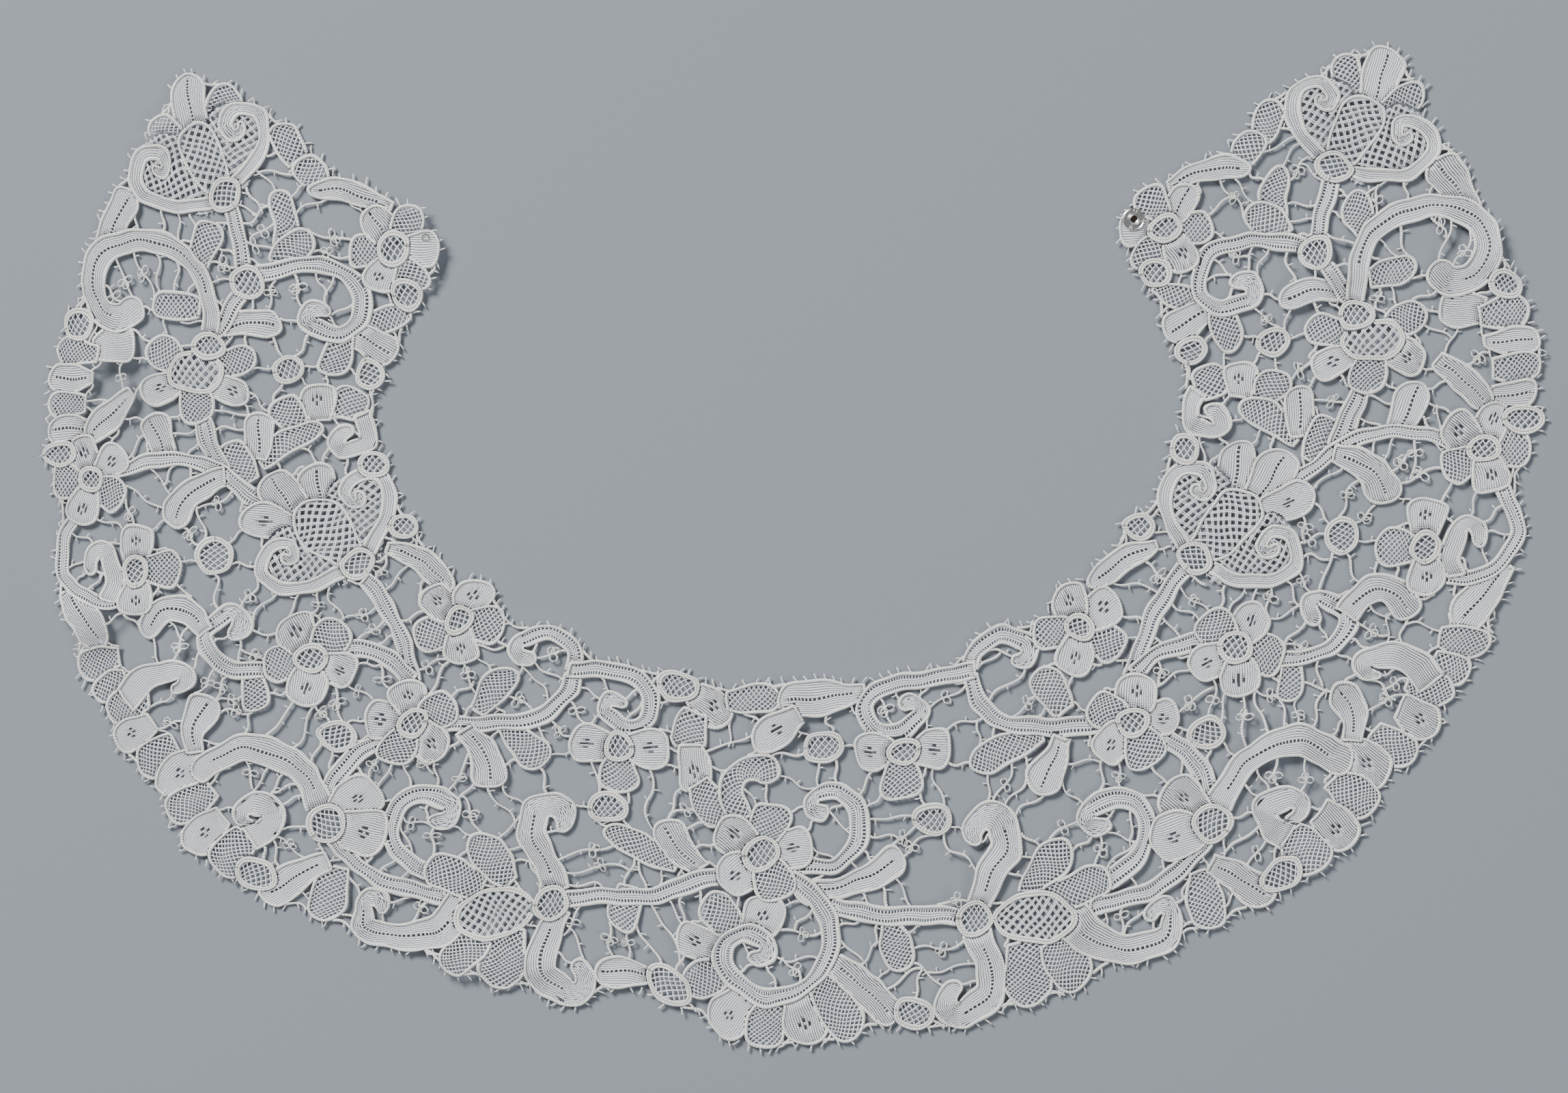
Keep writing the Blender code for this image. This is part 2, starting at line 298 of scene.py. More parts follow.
CENTRE_RIBBONS = (
    # the neck bands, each with a curl over its flower
    ("stem", 4.8, 5.2, 6.4,
     ((60, -37.5), (50, -38.5), (39, -39.5), (31, -42), (27.5, -48), (31.5, -54), (37.5, -54), (41.5, -48.5))),
    ("stem", 4.8, 5.2, 6.4,
     ((-60, -37.5), (-50, -38), (-41, -40), (-36, -45), (-37, -52.5), (-42, -55), (-47, -50))),
    # the blunt leaves under the neck scrolls, and the one on the stem
    ("vein", 5.5, 12.4, 0, ((85.5, -56.5), (83, -63), (78, -73))),
    ("vein", 5.5, 11.2, 0, ((-90, -55.7), (-84.5, -63), (-81.6, -74.3))),
    ("vein", 6, 10.8, 0, ((-19.5, -95.5), (-26, -90.5), (-31, -82))),
    # scroll A, the stems and the spiral
    ("stem", 5, 5.4, 6.2, ((8, -93), (19, -93), (26, -86), (26, -77), (20.5, -71.5), (14.5, -75))),
    ("stem", 5, 5.2, 0, ((3, -93), (13, -102), (27, -107), (44, -108.5), (60, -109.5))),
    ("vein", 5, 9.5, 0, ((12, -100), (22, -99.5), (31, -96.5), (39, -89.5))),
    ("stem", 5, 5.2, 0, ((-62, -109.6), (-46, -107.5), (-32, -104.5), (-16, -97), (-7, -94))),
    ("stem", 5, 5.4, 6.2,
     ((4, -95), (13, -101), (18.5, -110), (17.5, -121), (10, -129.5), (-1, -131), (-10.5, -125.5),
      (-12.5, -117), (-7, -112.5), (-1.5, -117))),
    ("net", 6.5, 8.5, 0, ((-8.5, -79), (-11.5, -72), (-9, -66), (-3, -64), (2.5, -67))),
)

# Petals set round a ring: x, y, the ring's size, the first petal's heading, the step to the next, a letter
# for each petal's fill, how far petals reach from the middle, and their width.
MIRRORED_FLOWERS = (
    (112, 91, 10, 0, 60, "nvntne", 14, 9.8),
    (135.5, -32.5, 9.6, -11, 72, "nenee", 14.5, 11.8),
    (105.5, -53.5, 9.4, 10, 72, "eenen", 14, 11.8),
    (190.5, -4, 9.8, 90, 90, "ene", 14.5, 12),
    (206.5, 24.5, 9.2, -3, 72, "neene", 14, 11),
    (130, -83.5, 12, 141, 56, "ee", 18.5, 14),
)
CENTRE_FLOWERS = (
    (90, -25.5, 9.2, -30, 72, "neene", 13.8, 11.2),
    (-92.7, -22, 9.2, 206, -72, "neene", 13.8, 11.2),
    (38.5, -60, 9.4, 180, 90, "ene", 14.5, 12),
    (-44.5, -61, 9.4, 180, 90, "ene", 14.5, 12),
    (-2, -89, 11.2, 6, 72, "eneen", 15, 12.5),
)
FILL_LETTERS = {"n": "net", "e": "eyelet", "v": "vein", "t": "toile"}

# The leaves behind the palmettes.
MIRRORED_CROWNS = (
    ("net", 160, 60, 168, 13, 9.5),
    ("eyelet", 162, 51, 208, 13, 9),
    ("net", 172.3, 47, 265, 12, 12),
    ("eyelet", 183, 52, -25, 13, 10.5),
    ("net", 182.5, 62.5, 32, 13.5, 10),
    ("vein", 134.5, 19.5, 84, 17, 11),
    ("vein", 144.5, 17.5, 54, 18, 12.5),
    ("eyelet", 149.5, 10, 12, 16, 11),
    ("net", 92, -101, 24, 19, 11),
    ("net", 81, -96, 52, 20, 11),
)
CENTRE_CROWNS = (
    ("net", 164.3, 133.5, 100, 14, 8.2),
    ("vein", 173.7, 133.9, 70, 19, 11.8),
    ("net", 180.3, 127, 22, 13.5, 8.6),
    ("net", -160.8, 133, 75, 16, 9.5),
    ("vein", -171, 134.8, 99, 20, 11.5),
    ("net", -178, 126, 130, 12, 9.5),
)
# Each palmette has a base ring, a bud of open net, and a curled lobe on each side of it: side, x, y, heading,
# bud length, bud width, and the scales of the inner lobe, which is towards the neck, and the outer one.
PALMETTES = (
    (1, 161, 108, 62, 20, 14, 1, 1.12),
    (-1, -161, 108, 118, 20, 13.4, 1, 1.12),
    (1, 123, -6, 48, 22.5, 15, 1.05, 1.12),
    (-1, -122.6, -3.6, 132, 22.5, 15, 1.05, 1.06),
)
LOBE_BAND = ((0.5, 3.5), (3, 12), (8.5, 19), (16, 20.5), (20, 15.5), (18, 10.5), (15, 12))
LOBE_BAND_WIDTHS = (4.2, 0.95 * 4.2)
LOBE_TIP_WIDTH = 3.6
# A lobe's net, from (along, across) its foot to its tip, and the bud's foot and the base ring.
LOBE_FOOT = (1.0, 2.0)
LOBE_TIP = (20.5, 17.0)
LOBE_WIDTH = 19.0
BUD_FOOT = 2.5
BASE_RING = (9.0, 11.4)

# Each ring: fill, x, y, length, width, heading.
MIRRORED_RINGS = (
    ("open", 173, 56.6, 18.5, 12.5, 0),
    ("mesh", 168.5, 64.5, 11, 8.4, 0),
    ("mesh", 109, 78, 9.6, 9.2, 0),
    ("mesh", 120, 55, 9.4, 8.8, 80),
    ("mesh", 144.5, 57, 10.5, 8.8, -15),
    ("mesh", 156, 83, 10.8, 10, 0),
    ("mesh", 211.5, 72, 10.5, 9.2, -10),
    ("mesh", 218, 32.5, 11.5, 9, 0),
    ("mesh", 118.5, 26.5, 9, 8.6, 0),
    ("mesh", 165.5, 0, 11.6, 11, 90),
    ("mesh", 127.5, -57, 11.2, 9.8, 40),
    ("mesh", 150.5, -99, 13.5, 10.2, 28),
    ("mesh", 47.5, -80, 12, 9.6, 0),
)
CENTRE_RINGS = (
    ("open", 78.5, -110, 24, 15.5, 0),
    ("mesh", 61, -109.5, 11.4, 11, 0),
    ("open", -80, -112.8, 23.5, 16.2, 10),
    ("mesh", -63.6, -110, 11.4, 11, 0),
    ("mesh", 106, 4, 8.8, 8.6, 0),
    ("mesh", -109.3, 7.8, 8.8, 8.6, 0),
    ("mesh", -28, -131, 13.5, 11.5, -30),
    ("mesh", 43.5, -137, 12.5, 10, -8),
    ("mesh", 15.5, -58.5, 12, 10, 0),
    ("mesh", -28, -41.5, 13, 10, -8),
)

# ==============================
# Shapes: a motif is a spine with a half width along it, so a thread inside it is placed along and across.

SPINE_STEP = 0.5
CURVE_SAMPLES = 24
EDGE_SAMPLES = 90
# A petal's foot, as a share of its width, in short petals and in those longer than LONG_FROM widths. Petals
# are widest at WIDEST of their length, and end in a blunt curve.
SHORT_FOOT_SHARE = 0.62
LONG_FOOT_SHARE = 0.42
LONG_FROM = 1.75
WIDEST = 0.6
BLUNTNESS = 2.8
# A ribbon widens over this share of its length, and its end is round over this share of its width.
WIDENS_OVER = 0.9
ROUND_OVER = 0.55
ROUND_BLUNTNESS = 2.4


def smooth_line(points, step):
    """Points along a smooth curve through all of the given ones."""
    points = np.array(points, float)
    padded = np.vstack([2 * points[0] - points[1], points, 2 * points[-1] - points[-2]])
    share = np.linspace(0, 1, CURVE_SAMPLES, endpoint=False)[:, None]
    parts = []
    for a, b, c, d in zip(padded, padded[1:], padded[2:], padded[3:]):
        square, cube = 2 * a - 5 * b + 4 * c - d, 3 * b - a - 3 * c + d
        parts.append(0.5 * (2 * b + (c - a) * share + square * share**2 + cube * share**3))
    return evenly(np.vstack(parts + [points[-1:]]), step)


def distances(points):
    """How far along a line each of its points is."""
    return np.concatenate([[0], np.cumsum(np.hypot(*np.diff(points, axis=0).T))])


def length_of(points):
    return np.hypot(*np.diff(points, axis=0).T).sum()


def evenly(points, step):
    """A line's points again, about step apart."""
    along = distances(points)
    at = np.linspace(0, along[-1], max(2, int(round(along[-1] / step)) + 1))
    return np.stack([np.interp(at, along, points[:, 0]), np.interp(at, along, points[:, 1])], axis=1)


def sideways(points):
    """The unit vectors to the left of a line at its points."""
    run = np.gradient(points, axis=0)
    run /= np.maximum(np.hypot(run[:, 0], run[:, 1]), 1e-9)[:, None]
    return np.stack([-run[:, 1], run[:, 0]], axis=1)


def petal_half(share, foot):
    rise = foot + (1 - foot) * np.sin(np.pi / 2 * np.clip(share / WIDEST, 0, 1))
    fall = 1 - np.clip((share - WIDEST) / (1 - WIDEST), 0, 1) ** BLUNTNESS
    return rise * np.sqrt(np.maximum(fall, 0))


def ring_half(share):
    return np.sqrt(np.maximum(1 - (2 * share - 1) ** 2, 0))


def ribbon_half(start, end, length):
    """A ribbon's half width: from start to end, with a round end."""
    round_from = 1 - ROUND_OVER * end / length

    def half(share):
        past = np.clip((share - round_from) / (1 - round_from), 0, 1)
        width = start + (end - start) * smooth_step(share, 0.0, WIDENS_OVER)
        return 0.5 * width * np.sqrt(1 - past**ROUND_BLUNTNESS)

    return half


class Motif:
    """One piece of clothwork. No line is left open in it past plain_from, a share of its length."""

    def __init__(self, spine, half, fill, outline="cord", plain_from=1.0):
        self.spine = spine
        self.side = sideways(spine)
        self.arc = distances(spine)
        self.length = self.arc[-1]
        self.half = half
        self.fill = fill
        self.outline = outline
        self.plain_from = plain_from
        self.spray = spray_of(spine[len(spine) // 2])

    def at(self, along, across):
        """The pattern points at distances along the spine and to its left."""
        columns = [np.interp(along, self.arc, part[:, k]) for part in (self.spine, self.side) for k in (0, 1)]
        return np.stack([columns[0] + columns[2] * across, columns[1] + columns[3] * across], axis=-1)

    def edge(self, step):
        """The motif's closed outline, from its foot up its left side and back down its right one."""
        share = 0.5 - 0.5 * np.cos(np.linspace(0, np.pi, EDGE_SAMPLES))
        half = self.half(share)
        left = self.at(share * self.length, half)
        right = self.at(share * self.length, -half)
        return evenly(np.vstack([left, right[::-1], left[:1]]), step)


def spray_of(point):
    """The spray that a point of the pattern lies in."""
    angle = math.degrees(math.atan2(point[0], NECK_MIDDLE_Y - point[1]))
    return next(node for node, start, end in SPRAYS if start <= angle <= end)


def heading_vector(heading):
    return np.array([math.cos(math.radians(heading)), math.sin(math.radians(heading))])


def leaf(fill, x, y, heading, length, width, bend=0, outline="cord"):
    run = heading_vector(heading)
    left = np.array([-run[1], run[0]])
    middle = np.array([x, y])
    foot, tip = middle - run * length / 2, middle + run * length / 2
    foot_share = LONG_FOOT_SHARE if length > LONG_FROM * width else SHORT_FOOT_SHARE
    spine = smooth_line([foot, middle + left * bend * 0.5, tip], SPINE_STEP)
    return Motif(spine, lambda share: 0.5 * width * petal_half(share, foot_share), fill, outline)


def ring(fill, x, y, length, width, heading):
    run = heading_vector(heading)
    middle = np.array([x, y])
    spine = evenly(np.array([middle - run * length / 2, middle + run * length / 2]), SPINE_STEP)
    return Motif(spine, lambda share: 0.5 * width * ring_half(share), fill, "ring")


# A ribbon's end may curl round a spot beside it. A small opening is left at the spot itself, and it appears
# over the stretch from CURL_OPENS before the curl to CURL_OPENED past its start, in shares of the length.
CURL_TURN = 235.0
CURL_STEPS = 9
CURL_OPENING = 0.38
CURL_OPENS = 0.06
CURL_OPENED = 0.04
STEEPEST_JOIN = 0.95


def curl_round(before, last, spot, start_width, tip_width):
    """The middle line of a ribbon that comes from before and last, and curls round the spot."""
    path = spot - last
    hand = 1 if (last - before)[0] * path[1] > (last - before)[1] * path[0] else -1
    join = math.asin(min(STEEPEST_JOIN, 0.5 * start_width / math.hypot(*path)))
    heading = math.atan2(path[1], path[0]) - hand * join
    line = []
    for share in np.linspace(0, 1, CURL_STEPS):
        out = heading + hand * (math.radians(CURL_TURN) * share - math.pi / 2)
        radius = 0.5 * (start_width + (tip_width - start_width) * share)
        line.append(spot + radius * np.array([math.cos(out), math.sin(out)]))
    return line


def ribbon(fill, start_width, end_width, tip_width, points):
    """A ribbon. With a tip_width, its end curls round the last point, and narrows to that width."""
    points = [np.array(point, float) for point in points]
    if not tip_width:
        spine = smooth_line(points, SPINE_STEP)
        return Motif(spine, ribbon_half(start_width, end_width, length_of(spine)), fill)
    curl = curl_round(*points[-3:], end_width, tip_width)
    spine = smooth_line(points[:-1] + curl, SPINE_STEP)
    curl_from = 1 - length_of(curl) / length_of(spine)
    band = ribbon_half(start_width, end_width, length_of(spine))

    def half(share):
        narrowed = (end_width - tip_width) * smooth_step(share, curl_from, 1.0)
        opened = CURL_OPENING * smooth_step(share, curl_from - CURL_OPENS, curl_from + CURL_OPENED)
        return np.maximum(band(share) * (1 - narrowed / end_width) - opened, 0.0)

    return Motif(spine, half, fill, plain_from=curl_from)


FLOWER_FOOT = 0.3
FLOWER_RING = 0.95


def flower(x, y, ring_size, first, step, fills, reach, width):
    petals = []
    foot = FLOWER_FOOT * ring_size
    for i, letter in enumerate(fills):
        heading = first + i * step
        out = heading_vector(heading) * (foot + reach) / 2
        petals.append(leaf(FILL_LETTERS[letter], x + out[0], y + out[1], heading, reach - foot, width))
    return petals + [ring("mesh", x, y, ring_size, ring_size * FLOWER_RING, first)]


def palmette(side, x, y, heading, bud_length, bud_width, inner_lobe, outer_lobe):
    run = heading_vector(heading)
    left = np.array([-run[1], run[0]]) * side

    def spot(along, across):
        return np.array([x, y]) + run * along + left * across

    parts = []
    for scale, hand in ((inner_lobe, 1), (outer_lobe, -1)):
        foot = spot(LOBE_FOOT[0], LOBE_FOOT[1] * hand)
        tip = spot(LOBE_TIP[0] * scale, LOBE_TIP[1] * hand * scale)
        angle = math.degrees(math.atan2(*(tip - foot)[::-1]))
        size = (np.hypot(*(tip - foot)), LOBE_WIDTH * scale)
        parts.append(leaf("open", *(foot + tip) / 2, angle, *size, outline=None))
        band = [tuple(spot(along * scale, across * scale * hand)) for along, across in LOBE_BAND]
        parts.append(ribbon("toile", *LOBE_BAND_WIDTHS, LOBE_TIP_WIDTH * scale, band))
    parts.append(leaf("open", *spot(BUD_FOOT + bud_length / 2, 0), heading, bud_length, bud_width))
    parts.append(ring("mesh", x, y, *BASE_RING, heading))
    return parts


def side_leaf(side, fill, x, y, heading, length, width, bend=0):
    """A leaf of the right half, where side is 1, or its mirror image on the left, where side is -1."""
    return leaf(fill, x * side, y, on_side(side, heading), length, width, bend * side)


def on_side(side, heading):
    return heading if side == 1 else 180 - heading


def make_motifs():
    """Every motif, each one laid over those before it."""
    motifs = [side_leaf(side, *row) for side in SIDES for row in MIRRORED_LEAVES]
    motifs += [leaf(*row) for row in CENTRE_LEAVES]
    for side in SIDES:
        for fill, start, end, tip, points in MIRRORED_RIBBONS:
            motifs.append(ribbon(fill, start, end, tip, [(x * side, y) for x, y in points]))
    motifs += [ribbon(*row) for row in CENTRE_RIBBONS]
    motifs += [leaf(*row) for row in CENTRE_CROWNS]
    for side in SIDES:
        for x, y, size, first, step, fills, reach, width in MIRRORED_FLOWERS:
            motifs += flower(x * side, y, size, on_side(side, first), step * side, fills, reach, width)
        motifs += [side_leaf(side, *row) for row in MIRRORED_CROWNS]
    for row in PALMETTES:
        motifs += palmette(*row)
    for side in SIDES:
        for fill, x, y, length, width, heading in MIRRORED_RINGS:
            motifs.append(ring(fill, x * side, y, length, width, heading * side))
    for row in CENTRE_FLOWERS:
        motifs += flower(*row)
    return motifs + [ring(*row) for row in CENTRE_RINGS]


# ==============================
# The map of which motif covers each spot of the pattern.

CELL = 0.25
MAP_STEP = 0.14
MAP_LEFT, MAP_RIGHT = -240.0, 240.0
MAP_BOTTOM, MAP_TOP = -165.0, 165.0
MAP_ROWS = int((MAP_TOP - MAP_BOTTOM) / CELL)
MAP_COLUMNS = int((MAP_RIGHT - MAP_LEFT) / CELL)
BARE = -1


def cells_of(points):
    column = np.clip(((points[..., 0] - MAP_LEFT) / CELL).astype(int), 0, MAP_COLUMNS - 1)
    row = np.clip(((points[..., 1] - MAP_BOTTOM) / CELL).astype(int), 0, MAP_ROWS - 1)
    return row, column


def map_motifs(motifs):
    """Which motif covers each cell: its index, or BARE."""
    owner = np.full((MAP_ROWS, MAP_COLUMNS), BARE, np.int16)
    for index, motif in enumerate(motifs):
        along = np.arange(0, motif.length, MAP_STEP)
        half = motif.half(along / motif.length)
        across = np.arange(-half.max(), half.max(), MAP_STEP)
        along, across = np.meshgrid(along, across)
        inside = np.abs(across) <= half[None, :]
        owner[cells_of(motif.at(along[inside], across[inside]))] = index
    return owner


def runs(keep):
    """The (start, end) of each stretch of True."""
    change = np.flatnonzero(np.diff(np.concatenate([[0], keep.astype(np.int8), [0]])))
    return list(zip(change[::2], change[1::2]))


def picked_runs(keep, shortest, step):
    """For each stretch of True that isn't too short, every step-th index in it and its last one."""
    for start, end in runs(keep):
        if end - start >= shortest:
            yield np.unique(np.append(np.arange(start, end, step), end - 1))


# ==============================
# Threads: each is a line on the pattern, with its heights, and the sizes of its round or flattened section.


class Threads:
    """All the tubes of one piece of the collar, gathered before they become a mesh."""

    def __init__(self):
        self.tubes = []

    def add(self, line, height, half_width, half_height, sides=3, closed=False):
        self.tubes.append((line, height, half_width, half_height, sides, closed))


# --- Clothwork: close rows of stitches, with veins and eyelets left open in them.

ROW_PITCH = 0.62
ROW_HALF_WIDTH = 0.285
ROW_HALF_HEIGHT = 0.17
ROW_START = 0.2
CLOTH_HEIGHT = 0.45
CLOTH_INSET = 0.05
ROW_SAMPLE = 0.4
SAMPLES_PER_RING = 5
FEWEST_SAMPLES = 3
PUFF = 0.3
NARROWEST = 0.1
# For each fill with open lines: their rows, the shares of the length between which they are open, and the
# distance from one rung across them to the next.
OPEN_LINES = {"vein": ((0,), 0.14, 0.86, 1.15), "stem": ((-2, 2), 0.03, 0.97, 0.85)}
# A rung reaches from the row on one side of the open line to the row on the other.
RUNG_REACH = 0.8
RUNG_HALF_WIDTH = 0.25
RUNG_DROP = 0.05
# The holes of an eyelet group: (distance from the group's middle, row).
EYELETS = ((-1.0, 0), (1.0, 0), (0.0, 2), (0.0, -2))
EYELETS_AT = 0.55
EYELET_HALF_LENGTH = 0.44


def puff(motif, along, across):
    """How far the cloth stands up inside its cord."""
    share = along / motif.length
    half = np.maximum(motif.half(share), NARROWEST)
    return PUFF * np.maximum(0, 1 - (across / half) ** 2) * np.sin(np.pi * np.clip(share, 0, 1))


def work_thread(motif, index, owner, cloth, along, across, keep, half_width, rise=0.0):
    """A thread through the motif, wherever keep holds and no later motif covers it."""
    points = motif.at(along, across)
    keep = keep & (owner[cells_of(points)] == index)
    heights = CLOTH_HEIGHT + puff(motif, along, across) + rise
    for picked in picked_runs(keep, FEWEST_SAMPLES, SAMPLES_PER_RING):
        cloth.add(points[picked], heights[picked], half_width, ROW_HALF_HEIGHT)


def work_rows(motif, index, owner, cloth):
    lines, open_from, open_to, rung_pitch = OPEN_LINES.get(motif.fill, ((), 0, 0, 0))
    open_to = min(open_to, motif.plain_from)
    along = np.arange(ROW_START, motif.length, ROW_SAMPLE)
    share = along / motif.length
    half = motif.half(share)
    most = int(half.max() / ROW_PITCH) + 1
    for row in range(-most, most + 1):
        across = row * ROW_PITCH
        keep = np.abs(across) < half - CLOTH_INSET
        if row in lines:
            keep &= (share < open_from) | (share > open_to)
        if motif.fill == "eyelet":
            for offset, eyelet_row in EYELETS:
                if row == eyelet_row:
                    keep &= np.abs(along - motif.length * EYELETS_AT - offset) > EYELET_HALF_LENGTH
        work_thread(motif, index, owner, cloth, along, across, keep, ROW_HALF_WIDTH)
        if row in lines:
            rungs = np.arange(open_from * motif.length, open_to * motif.length, rung_pitch)
            work_rungs(motif, index, owner, cloth, across, rungs)


def work_rungs(motif, index, owner, cloth, across, rungs):
    """The short threads that cross an open line, at each of the given distances along it."""
    ends = np.array([across - ROW_PITCH * RUNG_REACH, across + ROW_PITCH * RUNG_REACH])
    for along in rungs:
        both = np.array([along, along])
        points = motif.at(both, ends)
        if (owner[cells_of(points)] == index).all():
            heights = CLOTH_HEIGHT - RUNG_DROP + puff(motif, both, ends)
            cloth.add(points, heights, RUNG_HALF_WIDTH, ROW_HALF_HEIGHT)


# --- Net: two sets of slanting threads. Open net has them in pairs.

# Each net: hole pitch, slope, half width of the thread, and where the strands of one thread lie.
NETS = {
    "net": (1.42, 1.2, 0.2, (0.0,)),
    "mesh": (1.8, 1.3, 0.23, (0.0,)),
    "open": (2.55, 1.15, 0.2, (-0.22, 0.22)),
}
NET_SAMPLE = 0.75 * ROW_SAMPLE
NET_INSET = 0.1
NET_RISE = 0.06
NET_WIDTHS = 40


def work_net(motif, index, owner, cloth):
    pitch, slope, half_width, strands = NETS[motif.fill]
    widest = motif.half(np.linspace(0, 1, NET_WIDTHS)).max()
    for hand in (1, -1):
        for start in np.arange(-2 * widest / slope, motif.length + 2 * widest / slope, pitch):
            for strand in strands:
                across = np.arange(-widest, widest, NET_SAMPLE)
                along = start + strand * math.hypot(1, slope) / slope + hand * across / slope
                inside = (along > 0) & (along < motif.length)
                if inside.sum() < FEWEST_SAMPLES:
                    continue
                along, across = along[inside], across[inside]
                keep = np.abs(across) < motif.half(along / motif.length) - NET_INSET
                rise = -NET_RISE * hand
                work_thread(motif, index, owner, cloth, along, across, keep, half_width, rise)


# --- Cords: the raised outline of every motif. A ring has a second cord inside the first.

CORD_STEP = 0.9
CORD_HALF_WIDTH = 0.5
CORD_HALF_HEIGHT = 0.44
CORD_HEIGHT = 0.66
CORD_INSET = 0.6
CORD_SIDES = 6
WHOLE_CORD_RISE = 0.1
SECOND_CORD_DROP = 0.06
RING_CORD_HALF_WIDTH = 0.42
RING_GROOVE = 0.8
# A cord is left out where the cloth just past the outline is the motif's own.
BEYOND_OUTLINE = 0.36


def work_cords(motif, index, owner, cords):
    if motif.outline is None:
        return
    fine = motif.edge(CORD_STEP / 2)
    out = sideways(fine)
    inset = fine - out * CORD_HALF_WIDTH * CORD_INSET
    here = owner[cells_of(inset)]
    beyond = owner[cells_of(fine + out * BEYOND_OUTLINE)]
    keep = (here <= index) & (beyond != index)
    lines = [inset]
    half_width = CORD_HALF_WIDTH
    if motif.outline == "ring":
        lines.append(fine - out * (CORD_HALF_WIDTH * CORD_INSET + RING_GROOVE))
        half_width = RING_CORD_HALF_WIDTH
    for depth, line in enumerate(lines):
        size = (half_width, CORD_HALF_HEIGHT, CORD_SIDES)
        if keep.all():
            height = CORD_HEIGHT + WHOLE_CORD_RISE - SECOND_CORD_DROP * depth
            cords.add(line[:-1:2], height, *size, closed=True)
            continue
        order = np.roll(np.arange(len(line) - 1), -int(np.argmin(keep)))
        for picked in picked_runs(keep[order], 4, 2):
            cords.add(line[order[picked]], CORD_HEIGHT - SECOND_CORD_DROP * depth, *size)


# ==============================
# The ground between the motifs, its border, and the bars that cross it.

# A ground cell is two map cells wide.
GROUND_CELL = 2 * CELL
BRIDGE_REACH = 13
BORDER_SMOOTHING = 2
BAR_HEIGHT = 0.5
NEIGHBOURS = ((0, 1), (1, 1), (1, 0), (1, -1), (0, -1), (-1, -1), (-1, 0), (-1, 1))


def grow(mask, steps):
    """The mask, made larger by a rounded octagon."""
    for step in range(steps):
        larger = mask.copy()
        for row, column in NEIGHBOURS[::2] if step % 2 else NEIGHBOURS:
            larger |= np.roll(mask, (row, column), (0, 1))
        mask = larger
    return mask


def ground_points(rows, columns):
    """The middles of ground cells, as x and y on the pattern."""
    return MAP_LEFT + (columns + 0.5) * GROUND_CELL, MAP_BOTTOM + (rows + 0.5) * GROUND_CELL


def border_of(mask):
    """The mask's outer border, anticlockwise, as a smoothed line on the pattern."""
    top = np.flatnonzero(mask.any(axis=1))[-1]
    cell = start = (int(top), int(np.flatnonzero(mask[top])[0]))
    heading = 7
    cells = []
    while not cells or cell != start:
        cells.append(cell)
        first = heading + (6 if heading % 2 else 7)
        for turn in range(8):
            heading = (first + turn) % 8
            beside = (cell[0] + NEIGHBOURS[heading][0], cell[1] + NEIGHBOURS[heading][1])
            if mask[beside]:
                cell = beside
                break
    line = np.stack(ground_points(*np.array(cells, float).T), axis=1)
    shifts = range(-BORDER_SMOOTHING, BORDER_SMOOTHING + 1)
    smooth = sum(np.roll(line, shift, axis=0) for shift in shifts) / len(shifts)
    return evenly(np.vstack([smooth, smooth[:1]]), GROUND_CELL)


def inside_of(border, shape):
    """The cells that lie inside the border."""
    x, y = ground_points(np.arange(shape[0]), np.arange(shape[1]))
    inside = np.zeros(shape, bool)
    x1, y1 = border.T
    x2, y2 = np.roll(border, -1, axis=0).T
    for row, level in enumerate(y):
        crossing = (y1 > level) != (y2 > level)
        width, height = (x2 - x1)[crossing], (y2 - y1)[crossing]
        at = x1[crossing] + (level - y1[crossing]) * width / height
        inside[row] = (x[None, :] > at[:, None]).sum(axis=0) % 2 == 1
    return inside


def ground_cells_of(points):
    rows, columns = cells_of(points)
    return rows // 2, columns // 2


def turned(way, degrees):
    """The way, turned to the left."""
    cos, sin = heading_vector(degrees)
    return np.array([way[0] * cos - way[1] * sin, way[0] * sin + way[1] * cos])


def add_to_spray(kit, line, height, half_width, half_height, sides, closed=False):
    """A thread goes with the spray in which its middle lies."""
    kit[spray_of(line[len(line) // 2])].add(line, height, half_width, half_height, sides, closed)


# Along a picot: (share of its length, bend to the left in mm, share of its width).
PICOT_SHAPE = ((0.0, 0.0, 1.0), (0.4, 0.08, 0.9), (0.75, 0.03, 1.0), (1.0, -0.12, 0.6))
FLATNESS = 0.9


def add_picot(kit, foot, way, length, half_width):
    """A short looped thread end."""
    share, bend, width = np.array(PICOT_SHAPE).T
    line = foot + way * length * share[:, None] + turned(way, 90) * bend[:, None]
    add_to_spray(kit, line, BAR_HEIGHT, half_width * width, half_width * width * FLATNESS, 4)


EDGE_BAR_HALF_WIDTH = 0.46
EDGE_BAR_INSET = 0.4
BARE_DEPTHS = (0.5, 1.0)
EDGE_PICOT_INSET = 0.5
EDGE_PICOT_HALF_WIDTH = 0.3
EDGE_PICOT_LENGTHS = (2.2, 2.8)
EDGE_PICOT_STEPS = (5, 6, 6, 7, 8)
# Most picots along the edge lean the same way: (mean, spread) of the lean, and the share that leans so.
PICOT_LEAN = (32.0, 8.0)
SAME_LEAN_SHARE = 0.72


